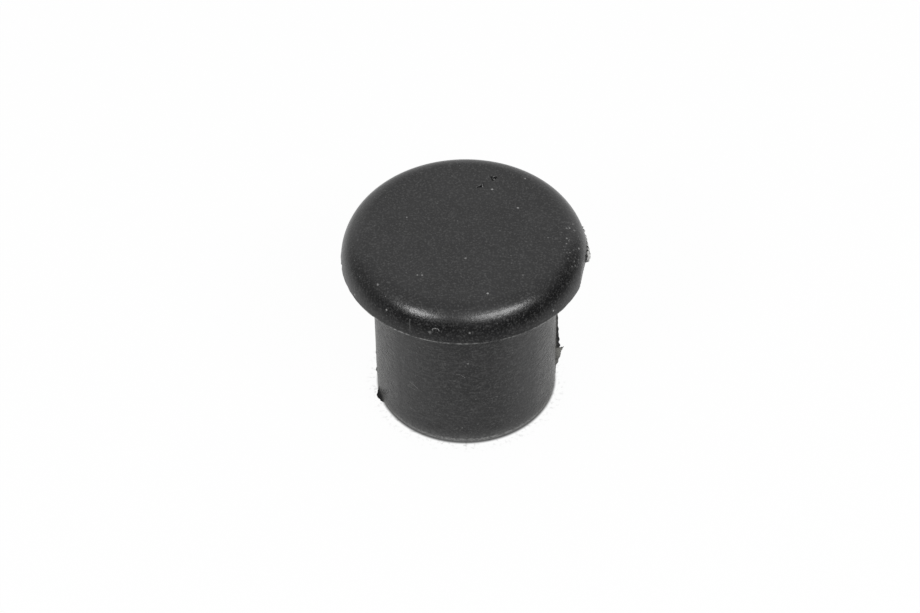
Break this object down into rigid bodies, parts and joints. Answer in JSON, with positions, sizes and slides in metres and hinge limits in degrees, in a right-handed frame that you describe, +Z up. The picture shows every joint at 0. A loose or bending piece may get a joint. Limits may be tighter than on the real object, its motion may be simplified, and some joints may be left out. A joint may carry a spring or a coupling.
{
  "type": "round end cap",
  "caption": "Solid rubber plug with a smooth round shank and a low mushroom head, pressed into the end of a round tube to close and cover it.",
  "frame": {"origin": "on the plug's axis, in the plane of the head's underside, where the end of the tube seats", "axes": "+Z runs up the axis through the head; +X points to the torn flash on the rim, in the plane where the halves of the mould met; -Y faces the viewer"},
  "size_m": [0.0341, 0.0338, 0.029],
  "materials": {
    "rubber": "moulded black rubber, low sheen, dusty"
  },
  "bodies": {
    "root": {"end_cap": "rubber"}
  },
  "joints": []
}
